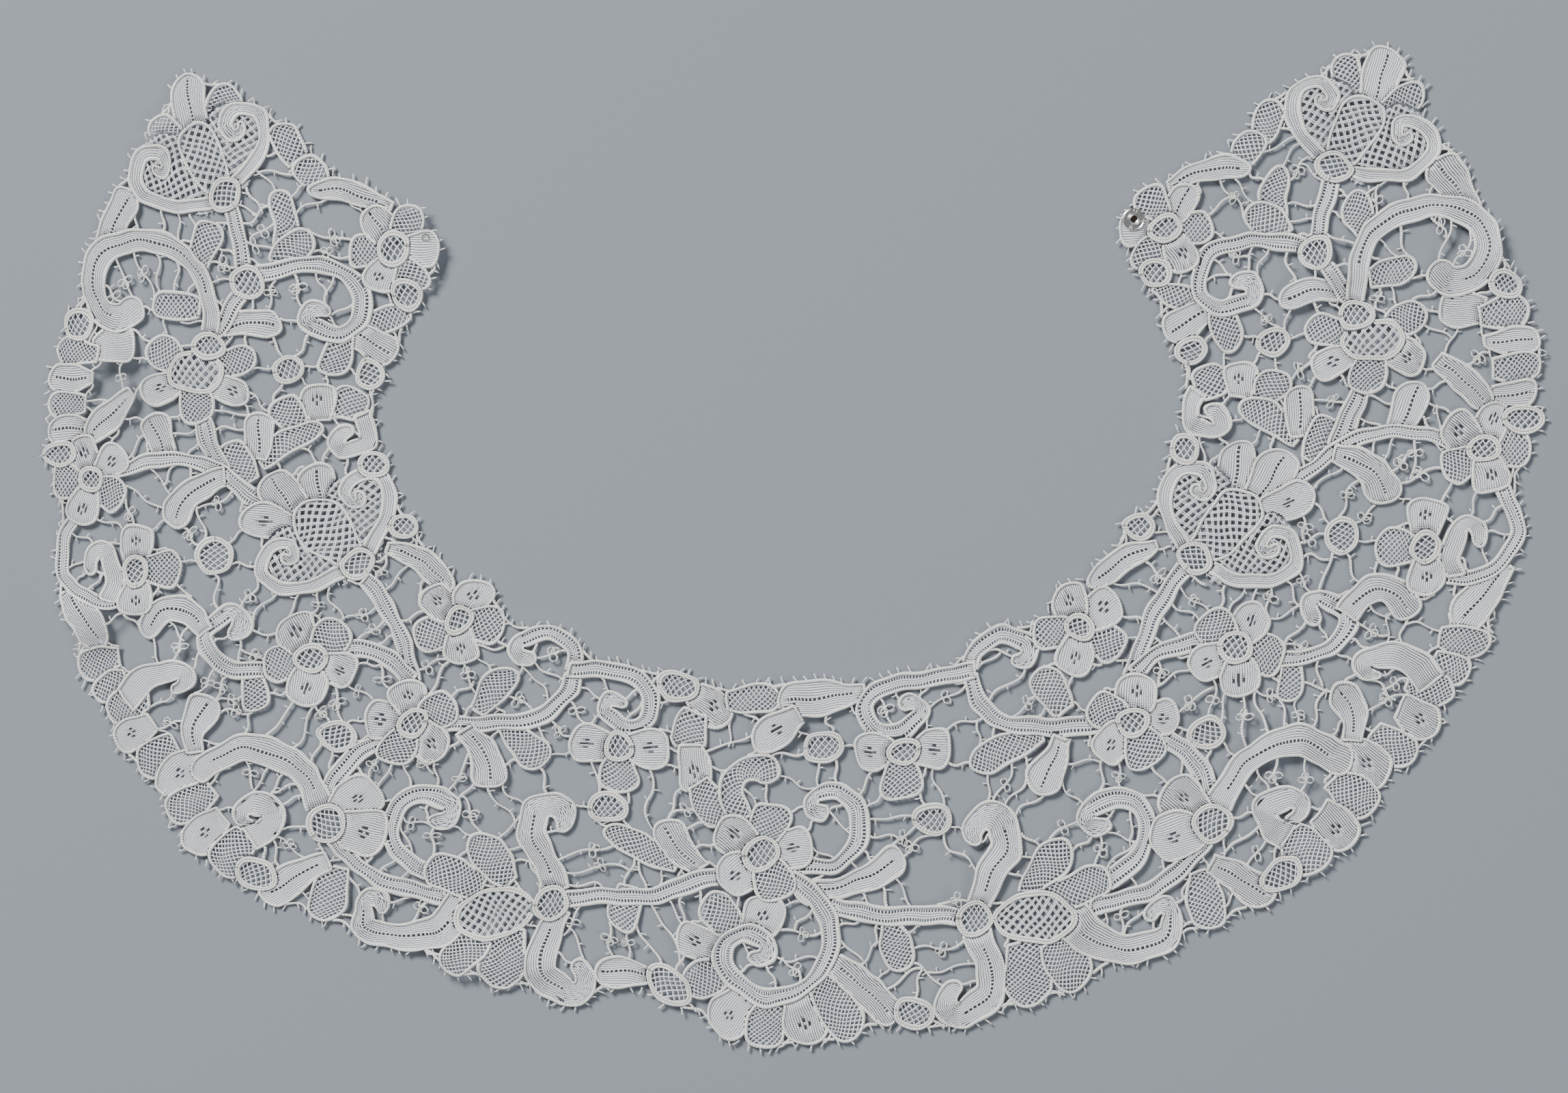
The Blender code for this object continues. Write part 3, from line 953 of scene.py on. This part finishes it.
def work_border(border, owner, bars, cords):
    """Bars where the border crosses the ground, and a picot every few millimetres all along it."""
    out = -sideways(border)
    bare = np.all([owner[cells_of(border - out * depth)] == BARE for depth in BARE_DEPTHS], axis=0)
    for start, end in runs(bare):
        if end - start > 3:
            picked = np.unique(np.append(np.arange(max(start - 2, 0), end + 2, 2), end + 1)) % len(border)
            line = border[picked] - out[picked] * EDGE_BAR_INSET
            add_to_spray(bars, line, BAR_HEIGHT, EDGE_BAR_HALF_WIDTH, EDGE_BAR_HALF_WIDTH * FLATNESS, 6)
    index = 0
    while index < len(border) - 1:
        lean = chance.gauss(*PICOT_LEAN) * (1 if chance.random() < SAME_LEAN_SHARE else -1)
        foot = border[index] - out[index] * EDGE_PICOT_INSET
        length = chance.uniform(*EDGE_PICOT_LENGTHS)
        add_picot(cords, foot, turned(out[index], lean), length, EDGE_PICOT_HALF_WIDTH)
        index += chance.choice(EDGE_PICOT_STEPS)


# Bars go from cloth to cloth, and then from cloth to the bars before them where there is still room.
# (random order, how far they swing from square to the edge, how near the far end may come to another bar)
BAR_ROUNDS = ((11, 16.0, 0.0), (12, 30.0, 5.0), (13, 40.0, 5.0))
RAY_START_STEP = 1.5
RAY_STEP = 0.4
RAY_START = 0.9
RAY_FOOT = 0.7
SHORTEST_BAR = 2.4
LONGEST_BAR = 26.0
ORDER_SPREAD = (0.55, 1.6)
BAR_GAP = 4.3
CLEAR_START = 0.5
CLEAR_STEP = 0.4
CLEAR_LEAST = 1.5
# How far a bar goes into the cloth at its foot and at its far end.
BAR_ROOT = 0.3
BAR_ANCHOR = 0.7


def cast_bars(motifs, owner, ground, order_seed, swing):
    """Every straight way over the ground from a motif to the next cloth, the shorter ones mostly first."""
    generator = np.random.default_rng(order_seed)
    edges = [motif.edge(RAY_START_STEP) for motif in motifs]
    feet = np.vstack(edges)
    ways = np.vstack([sideways(edge) for edge in edges])
    turn = np.radians(generator.normal(0, swing, len(feet)))
    across = np.stack([-ways[:, 1], ways[:, 0]], axis=1)
    ways = ways * np.cos(turn)[:, None] + across * np.sin(turn)[:, None]
    free = owner[cells_of(feet + ways * RAY_START)] == BARE
    free &= owner[cells_of(feet - ways * RAY_FOOT)] != BARE
    feet, ways = feet[free], ways[free]
    reach = np.zeros(len(feet))
    going = np.ones(len(feet), bool)
    for distance in np.arange(RAY_START, LONGEST_BAR, RAY_STEP):
        going &= ground[ground_cells_of(feet + ways * distance)]
        reach[going] = distance
    fits = (reach > SHORTEST_BAR) & ~going
    order = np.argsort((reach * generator.uniform(*ORDER_SPREAD, len(feet)))[fits])
    return feet[fits][order], ways[fits][order], reach[fits][order]


def work_bars(motifs, owner, ground, bars):
    """Bars across the ground, each kept clear of those before it."""
    taken = np.zeros_like(ground)
    spread = int(BAR_GAP / GROUND_CELL)
    stamp_rows, stamp_columns = np.mgrid[-spread : spread + 1, -spread : spread + 1]
    round_stamp = stamp_rows**2 + stamp_columns**2 <= spread**2
    stamp_rows, stamp_columns = stamp_rows[round_stamp], stamp_columns[round_stamp]
    free_ground = ground.copy()
    for order_seed, swing, near_end in BAR_ROUNDS:
        for foot, way, reach in zip(*cast_bars(motifs, owner, free_ground, order_seed, swing)):
            samples = foot + way * np.arange(CLEAR_START, reach + CLEAR_START, CLEAR_STEP)[:, None]
            clear = samples[: max(2, int((reach - near_end) / CLEAR_STEP))]
            if reach < near_end + CLEAR_LEAST or taken[ground_cells_of(clear)].any():
                continue
            rows, columns = ground_cells_of(samples)
            taken[rows[:, None] + stamp_rows, columns[:, None] + stamp_columns] = True
            free_ground[rows, columns] = False
            work_bar(np.array([foot - way * BAR_ROOT, foot + way * (reach + BAR_ANCHOR)]), bars)


BAR_STEP = 0.75
BAR_HALF_WIDTH = 0.39
# How far a bar bows and waves, in shares of its length.
BAR_BOW = (-0.09, 0.09)
BAR_WAVE = (0.03, 0.08)
# Picots on a bar: from its foot to the first one, from each to the next, and the least that is left over.
PICOT_FIRST = (1.8, 2.6)
PICOT_GAPS = (3.4, 5.2)
PICOT_LAST = 1.5
PICOT_LENGTHS = (1.4, 1.9)
PICOT_SPREAD = 14
PICOT_HALF_WIDTH = 0.27
# Some longer bars have a knot of loops near the middle, with no picots close to it.
KNOTTED_FROM = 7.5
KNOT_CHANCE = 0.45
KNOT_AT = (0.4, 0.6)
KNOT_CLEAR = 2.9


def work_bar(ends, bars):
    """One bar with a slight wave, and either picots along it or a knot of loops in the middle."""
    line = evenly(ends, BAR_STEP)
    reach = math.hypot(*(ends[1] - ends[0]))
    share = np.linspace(0, 1, len(line))
    bow = chance.uniform(*BAR_BOW) * reach
    wave = chance.uniform(*BAR_WAVE) * reach * chance.choice((1, -1))
    line = line + sideways(line) * (bow * np.sin(np.pi * share) + wave * np.sin(2 * np.pi * share))[:, None]
    add_to_spray(bars, line, BAR_HEIGHT, BAR_HALF_WIDTH, BAR_HALF_WIDTH * FLATNESS, 5)
    side = sideways(line)
    knotted = reach > KNOTTED_FROM and chance.random() < KNOT_CHANCE
    if knotted:
        middle = int(chance.uniform(*KNOT_AT) * (len(line) - 1))
        work_knot(line[middle], side[middle], bars)
    at = chance.uniform(*PICOT_FIRST)
    hand = chance.choice((1, -1))
    while at < reach - PICOT_LAST:
        index = int(at / reach * (len(line) - 1))
        if not knotted or abs(index - middle) * BAR_STEP > KNOT_CLEAR:
            way = turned(side[index] * hand, chance.gauss(0, PICOT_SPREAD))
            add_picot(bars, line[index], way, chance.uniform(*PICOT_LENGTHS), PICOT_HALF_WIDTH)
        hand = -hand
        at += chance.uniform(*PICOT_GAPS)


KNOT_LOOP = 1.0
KNOT_OFFSET = 0.2
KNOT_RISE = 0.15
# A loop's size along its way out and across it, in shares of KNOT_LOOP.
LOOP_STRETCH = (1.12, 0.9)
LOOP_STEPS = 10
LOOP_SECTION = (0.28, 0.26, 4)
THIRD_LOOP_TURNS = (70, -70, 110, -110)
THIRD_LOOP_CHANCE = 0.75
LOOP_SPREAD = 10


def work_knot(foot, way, bars):
    """Small loops of thread: one on each side of a bar, and mostly a third one beside them."""
    turns = (0, 180, chance.choice(THIRD_LOOP_TURNS))
    around = np.linspace(0, 2 * np.pi, LOOP_STEPS, endpoint=False)
    for turn in turns if chance.random() < THIRD_LOOP_CHANCE else turns[:2]:
        out = turned(way, turn + chance.gauss(0, LOOP_SPREAD))
        middle = foot + out * (KNOT_LOOP + KNOT_OFFSET)
        circle = np.outer(np.cos(around) * KNOT_LOOP * LOOP_STRETCH[0], out)
        circle += np.outer(np.sin(around) * KNOT_LOOP * LOOP_STRETCH[1], turned(out, 90))
        add_to_spray(bars, middle + circle, BAR_HEIGHT + KNOT_RISE, *LOOP_SECTION, closed=True)


# ==============================
# Meshes from threads.

THREE_SIDED = np.array([(1.0, -0.6), (0.0, 1.0), (-1.0, -0.6)])


def section_of(sides):
    """The corners of a thread's section, across and up, anticlockwise as seen from its far end."""
    if sides == 3:
        return THREE_SIDED
    turn = 2 * np.pi * (np.arange(sides) + 0.5) / sides
    return np.stack([np.cos(turn), np.sin(turn)], axis=1)


def make_piece(name, kit, material):
    points, heights, along, quads, caps = [], [], [], [], []
    first = 0
    for line, height, half_width, half_height, sides, closed in kit.tubes:
        count = len(line)
        section = section_of(sides)
        side = sideways(np.vstack([line[-1:], line, line[:1]]))[1:-1] if closed else sideways(line)
        half_width, half_height, height = (
            np.broadcast_to(value, count)[:, None] for value in (half_width, half_height, height)
        )
        across = half_width * section[None, :, 0]
        points.append((line[:, None, :] + side[:, None, :] * across[:, :, None]).reshape(-1, 2))
        heights.append((height + half_height * section[None, :, 1]).reshape(-1))
        along.append(np.repeat(distances(line), sides))
        start = np.arange(count if closed else count - 1)[:, None] * sides
        end = (start + sides) % (count * sides)
        corner = np.arange(sides)[None, :]
        after = (corner + 1) % sides
        quad = np.stack([start + corner, start + after, end + after, end + corner], axis=-1)
        quads.append(first + quad.reshape(-1, 4))
        if not closed:
            caps.append(first + np.arange(sides)[::-1])
            caps.append(first + (count - 1) * sides + np.arange(sides))
        first += count * sides
    corners = lay(np.vstack(points), np.concatenate(heights))
    return mesh_object(name, corners, np.vstack(quads), caps, np.concatenate(along), material)


def mesh_object(name, corners, quads, caps, along, material, smooth=True):
    mesh = bpy.data.meshes.new(name)
    loops = np.concatenate([quads.reshape(-1), *caps]).astype(np.int32)
    sizes = np.concatenate([np.full(len(quads), 4), [len(cap) for cap in caps]]).astype(np.int32)
    mesh.vertices.add(len(corners))
    mesh.vertices.foreach_set("co", corners.astype(np.float32).reshape(-1))
    mesh.loops.add(len(loops))
    mesh.loops.foreach_set("vertex_index", loops)
    mesh.polygons.add(len(sizes))
    starts = np.concatenate([[0], np.cumsum(sizes)[:-1]]).astype(np.int32)
    mesh.polygons.foreach_set("loop_start", starts)
    mesh.polygons.foreach_set("use_smooth", np.full(len(sizes), smooth))
    mesh.update(calc_edges=True)
    mesh.validate()
    run = mesh.attributes.new("along", "FLOAT", "POINT")
    run.data.foreach_set("value", along.astype(np.float32))
    return place_mesh(name, mesh, material)


def place_mesh(name, mesh, material):
    mesh.materials.append(material)
    return place(name, mesh)


def place(name, data):
    thing = bpy.data.objects.new(name, data)
    bpy.context.scene.collection.objects.link(thing)
    return thing


# ==============================
# Materials: cotton in two tones, and metal.


def new_material(name, base, inputs):
    material = bpy.data.materials.new(name)
    material.use_nodes = True
    surface = material.node_tree.nodes["Principled BSDF"]
    set_inputs(material.node_tree, surface, {"Base Color": (*base, 1.0), **inputs})
    return material, material.node_tree, surface


def set_inputs(tree, node, inputs):
    """Each input gets its value, or a link from another node's output."""
    for key, value in inputs.items():
        if isinstance(value, bpy.types.NodeSocket):
            tree.links.new(value, node.inputs[key])
        else:
            node.inputs[key].default_value = value


def add_node(tree, kind, output, inputs, operation=None):
    """The output of a new node that has these inputs."""
    node = tree.nodes.new("ShaderNode" + kind)
    if operation:
        node.operation = operation
    set_inputs(tree, node, inputs)
    return node.outputs[output]


COTTON = {
    "Roughness": 0.86,
    "Metallic": 0.0,
    "Sheen Weight": 0.25,
    "Sheen Roughness": 0.5,
    "Specular IOR Level": 0.25,
}
PATCHES = {"Scale": 55.0, "Detail": 6.0}
TONES_FROM = 0.32
TONES_TO = 0.68
FUZZ = {"Scale": 2600.0}


def cotton_material(name, light, dark, stitch, bump_depth):
    """Cotton thread: two close tones in soft patches, a little sheen, and fine stitches across it."""
    material, tree, surface = new_material(name, light, COTTON)
    spot = add_node(tree, "TexCoord", "Object", {})
    tones = tree.nodes.new("ShaderNodeValToRGB")
    tones.color_ramp.elements[0].position = TONES_FROM
    tones.color_ramp.elements[0].color = (*dark, 1.0)
    tones.color_ramp.elements[1].position = TONES_TO
    tones.color_ramp.elements[1].color = (*light, 1.0)
    set_inputs(tree, tones, {"Fac": add_node(tree, "TexNoise", "Fac", {"Vector": spot, **PATCHES})})
    run = tree.nodes.new("ShaderNodeAttribute")
    run.attribute_name = "along"
    turns = {0: run.outputs["Fac"], 1: 2 * math.pi / stitch}
    wave = add_node(tree, "Math", "Value", {0: add_node(tree, "Math", "Value", turns, "MULTIPLY")}, "SINE")
    fuzz = add_node(tree, "TexNoise", "Fac", {"Vector": spot, **FUZZ})
    height = add_node(tree, "Math", "Value", {0: wave, 1: fuzz}, "ADD")
    bump = {"Strength": 1.0, "Distance": bump_depth * MM, "Height": height}
    looks = {"Base Color": tones.outputs["Color"], "Normal": add_node(tree, "Bump", "Normal", bump)}
    set_inputs(tree, surface, looks)
    return material


METAL = {"Roughness": 0.2, "Metallic": 1.0}
WEAR_SCALE = 500.0
WORN = {"To Min": 0.12, "To Max": 0.3}


def metal_material(name, base):
    """Smooth metal, duller in patches where it is worn."""
    material, tree, surface = new_material(name, base, METAL)
    spot = add_node(tree, "TexCoord", "Object", {})
    wear = add_node(tree, "TexNoise", "Fac", {"Vector": spot, "Scale": WEAR_SCALE})
    set_inputs(tree, surface, {"Roughness": add_node(tree, "MapRange", "Result", {"Value": wear, **WORN})})
    return material


FLOOR_TINT = (0.215, 0.235, 0.265)
FLOOR = {"Roughness": 0.9, "Metallic": 0.0, "Specular IOR Level": 0.1}


def floor_material():
    """A plain matt card, grey-blue and darker than the lace, so that the holes read."""
    return new_material("floor_card", FLOOR_TINT, FLOOR)[0]


# ==============================
# The lace, spray by spray.

chance = random.Random(1871)


def work_lace():
    """All the threads: for each spray its clothwork, its cords and its bars. Also each spray's area."""
    motifs = make_motifs()
    owner = map_motifs(motifs)
    kits = {part: {node: Threads() for node, _, _ in SPRAYS} for part in ("cloth", "cords", "bars")}
    areas = {node: 0.0 for node, _, _ in SPRAYS}
    for index, motif in enumerate(motifs):
        work_fill = work_net if motif.fill in NETS else work_rows
        work_fill(motif, index, owner, kits["cloth"][motif.spray])
        work_cords(motif, index, owner, kits["cords"][motif.spray])
        areas[motif.spray] += (owner == index).sum() * CELL * CELL
    cloth = owner != BARE
    covered = cloth[::2, ::2] | cloth[1::2, ::2] | cloth[::2, 1::2] | cloth[1::2, 1::2]
    border = border_of(~grow(~grow(covered, BRIDGE_REACH), BRIDGE_REACH))
    work_border(border, owner, kits["bars"], kits["cords"])
    work_bars(motifs, owner, inside_of(border, covered.shape) & ~covered, kits["bars"])
    return kits, areas


# ==============================
# The press-stud: its metal halves, and the stitches that hold the socket.

LATHE_STEPS = 48
# (radius, height) in shares of the half's own radius and height.
SOCKET_PROFILE = (
    (0.26, 0), (0.90, 0), (0.98, 0.10), (1, 0.26), (0.98, 0.38), (0.93, 0.43), (0.88, 0.38), (0.86, 0.30),
    (0.58, 0.30), (0.52, 0.42), (0.48, 0.80), (0.43, 0.96), (0.37, 1), (0.31, 0.95), (0.27, 0.82),
)
# The spring inside the socket's mouth. Its near-black colour is painted shade that darkens the socket's
# hollow, where shade falls.
SPRING_PROFILE = ((0.03, 0.50), (0.26, 0.50), (0.26, 0.66), (0.03, 0.58))
BALL_PROFILE = (
    (0.12, 0), (0.88, 0), (0.97, 0.09), (1, 0.22), (0.96, 0.34), (0.86, 0.36), (0.60, 0.33), (0.40, 0.38),
    (0.33, 0.52), (0.36, 0.72), (0.30, 0.90), (0.16, 1), (0.12, 1),
)
EYE_PROFILE = ((0.45, 0), (1, 0), (1, 0.6), (0.86, 1), (0.6, 1), (0.45, 0.6))
EYE_RADIUS = 1.35
EYE_HEIGHT = 0.7
STITCH_HEADINGS = (80, 170, 260, 350)
STITCH_SPREAD = (-7, 7)
STITCH_SWING = (-2, 2)
STITCH_HALF_WIDTH = 0.14
# Each stitch comes out of the flange and goes over the rim: (distance from the stud's middle, height).
STITCH_PATH = ((2.45, 1.5), (2.8, 1.85), (3.25, 1.75), (3.6, 1.2), (4.2, 0.75))


def lathe(name, profile, low, high, material):
    """A turned metal piece that fills the box from low to high."""
    middle_x, middle_y = (low[0] + high[0]) / 2, (low[1] + high[1]) / 2
    radius, height = (high[0] - low[0]) / 2, high[2] - low[2]
    turn = 2 * np.pi * np.arange(LATHE_STEPS) / LATHE_STEPS
    corners = np.array([
        (middle_x + r * radius * math.cos(a), middle_y + r * radius * math.sin(a), low[2] + h * height)
        for r, h in profile
        for a in turn
    ])
    count = len(profile)
    ring, step = np.meshgrid(np.arange(count), np.arange(LATHE_STEPS), indexing="ij")
    after, beyond = (step + 1) % LATHE_STEPS, (ring + 1) % count
    rings = np.stack([ring, ring, beyond, beyond], axis=-1)
    quads = rings * LATHE_STEPS + np.stack([step, after, after, step], axis=-1)
    along = np.zeros(len(corners))
    return mesh_object(name, corners, quads.reshape(-1, 4), [], along, material, smooth=False)


def work_stitches():
    """Threads from the lace over the socket's rim, in small bunches."""
    stitches = Threads()
    middle = np.array(stud_middle(STUD_ANGLE))
    reach, heights = np.array(STITCH_PATH).T
    for heading in STITCH_HEADINGS:
        for spread in STITCH_SPREAD:
            way = heading_vector(heading + spread + chance.uniform(*STITCH_SWING))
            stitches.add(middle + way * reach[:, None], heights, STITCH_HALF_WIDTH, STITCH_HALF_WIDTH, 4)
    return stitches


# ==============================
# Everything is made, and rides on the collar's one body.

kits, areas = work_lace()
clothwork_cotton = cotton_material("cotton_clothwork", (0.79, 0.81, 0.85), (0.70, 0.72, 0.76), 0.62, 0.05)
cord_cotton = cotton_material("cotton_cord", (0.79, 0.785, 0.77), (0.69, 0.685, 0.66), 0.8, 0.07)
nickel = metal_material("bright_nickel", (0.72, 0.72, 0.70))
# Painted shade: the spring's metal is near-black to stand for the shade in the socket's hollow, not the
# metal's own colour.
spring_shade_metal = metal_material("spring_painted_shade", (0.10, 0.08, 0.06))
PARTS = (("cloth", clothwork_cotton), ("cords", cord_cotton), ("bars", cord_cotton))

for node, _, _ in SPRAYS:
    made = {}
    for part, look in PARTS:
        made[part] = make_piece(f"{node}_{part}", kits[part][node], look)
        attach(made[part], "root")
    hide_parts(node)
    low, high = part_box(node)

for node, profile in (("stud_socket", SOCKET_PROFILE), ("stud_ball", BALL_PROFILE)):
    low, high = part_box(node)
    metal = lathe(node + "_metal", profile, low, high, nickel)
    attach(metal, "root")
    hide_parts(node)

low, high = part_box("stud_socket")
# The spring, coloured near-black as painted shade in the socket's mouth.
spring = lathe("stud_socket_spring", SPRING_PROFILE, low, high, spring_shade_metal)
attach(spring, "root")
stitches = make_piece("stud_socket_stitches", work_stitches(), cord_cotton)
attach(stitches, "root")

# The ball's eye is what shows of the left half, through the petal over it.
low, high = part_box("stud_ball")
middle = [(low[k] + high[k]) / 2 for k in (0, 1)]
eye_low = (middle[0] - EYE_RADIUS * MM, middle[1] - EYE_RADIUS * MM, high[2] + CLOTH_TOP * MM)
eye_high = (middle[0] + EYE_RADIUS * MM, middle[1] + EYE_RADIUS * MM, eye_low[2] + EYE_HEIGHT * MM)
eye = lathe("stud_ball_eye", EYE_PROFILE, eye_low, eye_high, nickel)
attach(eye, "root")

# ==============================
# The floor, the light and the camera.

FLOOR_HALF = 3.0
FLOOR_CORNERS = ((-1, -1), (1, -1), (1, 1), (-1, 1))
FRAME_WIDTH = 0.4592
FRAME_MIDDLE = (-0.00252, 0.00023)
LENS = 85.0
SENSOR = 36.0
NEAR = 0.01
FAR = 20.0
# Each light: name, place, size, power, tint.
LIGHTS = (
    ("key", (-1.8, 2.0, 2.3), 1.3, 250.0, (1.0, 0.995, 0.985)),
    ("fill", (2.0, -1.2, 2.4), 2.0, 42.0, (0.95, 0.97, 1.0)),
)
SKY = {"Color": (0.96, 0.98, 1.0, 1.0), "Strength": 0.25}


def make_floor():
    mesh = bpy.data.meshes.new("floor")
    corners = [(x * FLOOR_HALF, y * FLOOR_HALF, 0) for x, y in FLOOR_CORNERS]
    mesh.from_pydata(corners, [], [(0, 1, 2, 3)])
    place_mesh("floor", mesh, floor_material())


def make_light(name, spot, size, power, tint):
    """A round lamp that points at the middle of the collar."""
    light = bpy.data.lights.new(name, "AREA")
    light.shape = "DISK"
    light.size = size
    light.energy = power
    light.color = tint
    lamp = place(name, light)
    lamp.location = spot
    x, y, z = spot
    lamp.rotation_euler = (math.atan2(math.hypot(x, y), z), 0, math.atan2(x, -y))


def make_camera():
    camera = bpy.data.cameras.new("camera")
    camera.lens = LENS
    camera.sensor_width = SENSOR
    camera.clip_start = NEAR
    camera.clip_end = FAR
    holder = place("camera", camera)
    holder.location = (*FRAME_MIDDLE, FRAME_WIDTH * LENS / SENSOR + CLOTH_TOP * MM)
    bpy.context.scene.camera = holder


make_floor()
for row in LIGHTS:
    make_light(*row)
world = bpy.data.worlds.new("studio")
world.use_nodes = True
set_inputs(world.node_tree, world.node_tree.nodes["Background"], SKY)
bpy.context.scene.world = world
make_camera()
